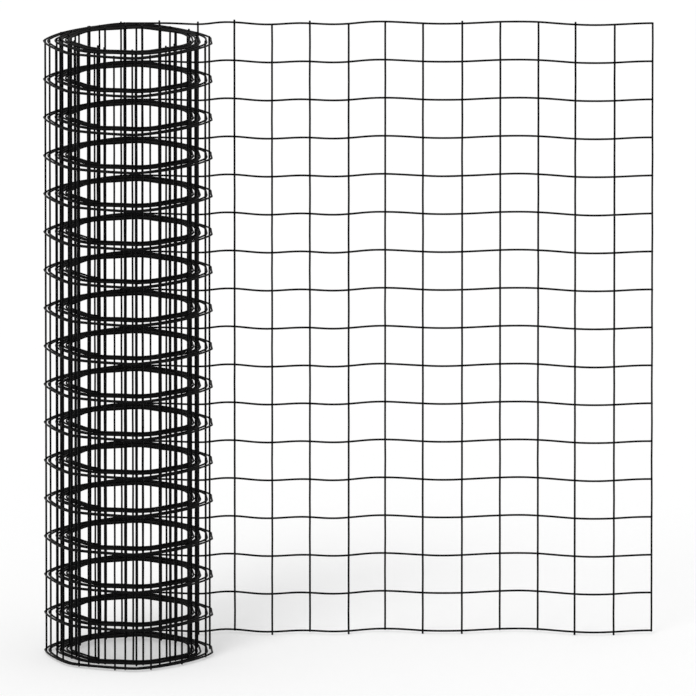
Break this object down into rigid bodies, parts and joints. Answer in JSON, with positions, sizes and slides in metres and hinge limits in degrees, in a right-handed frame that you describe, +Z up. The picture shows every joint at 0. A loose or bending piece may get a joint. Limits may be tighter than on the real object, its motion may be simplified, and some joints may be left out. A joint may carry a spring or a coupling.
{
  "type": "roll of welded wire fencing",
  "caption": "Upright roll of black coated welded square mesh, hollow through its middle, with its outer end unrolled as a flat sheet.",
  "frame": {"origin": "on the floor at the roll's own axis, at the bottom end of its bore", "axes": "+Z up along the roll's axis; the unrolled sheet leaves the back of the roll (+Y) and runs along +X"},
  "size_m": [1.1928, 0.3543, 1.2312],
  "materials": {
    "black_coated_wire": "satin black plastic coat over galvanised steel wire"
  },
  "bodies": {
    "root": {"wound_roll": "black_coated_wire", "unrolled_sheet": "black_coated_wire"}
  },
  "joints": []
}
